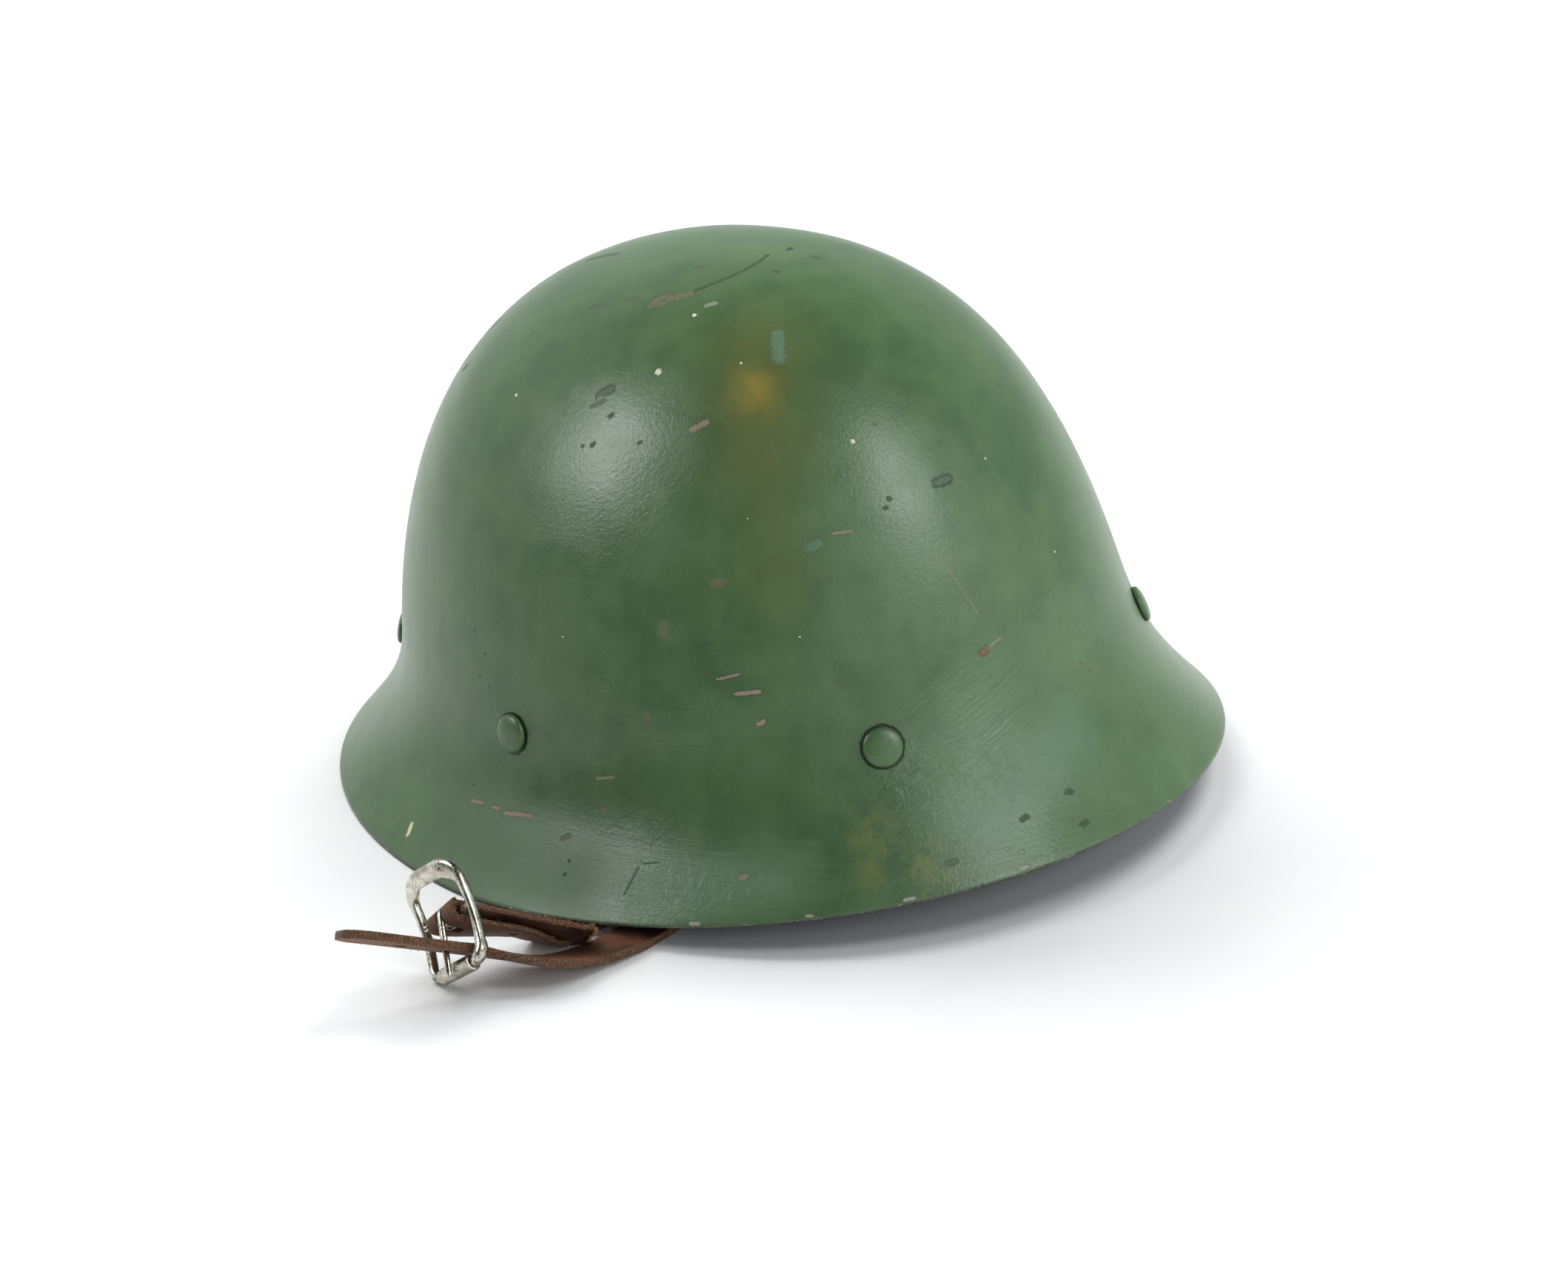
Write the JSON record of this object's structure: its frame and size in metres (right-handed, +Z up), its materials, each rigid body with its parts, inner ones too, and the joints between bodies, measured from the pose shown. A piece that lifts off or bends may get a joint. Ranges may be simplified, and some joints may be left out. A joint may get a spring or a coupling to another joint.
{
  "type": "military helmet",
  "caption": "Tall domed steel helmet with a flared skirt, painted green, with domed rivets and a leather chin strap with a roller buckle; protects the head.",
  "frame": {"origin": "bottom centre of the bounding box, on the surface that the helmet stands on", "axes": "+Z up, the front of the helmet towards -Y, the wearer's right towards -X"},
  "size_m": [0.3234, 0.2972, 0.1644],
  "materials": {
    "green_paint": "semi-gloss brushed green paint over steel",
    "brown_leather": "worn brown leather with rough cut edges",
    "buckle_steel": "bright plated steel, pitted"
  },
  "bodies": {
    "root": {"shell": "green_paint", "rivet_front_right": "green_paint", "rivet_front_left": "green_paint", "rivet_side_right": "green_paint", "rivet_side_left": "green_paint", "rivet_rear_right": "green_paint", "rivet_rear_left": "green_paint", "buckle_frame": "buckle_steel", "buckle_roller": "buckle_steel", "buckle_prong": "buckle_steel", "strap_tip": "brown_leather", "strap_buckle": "brown_leather"}
  },
  "joints": []
}
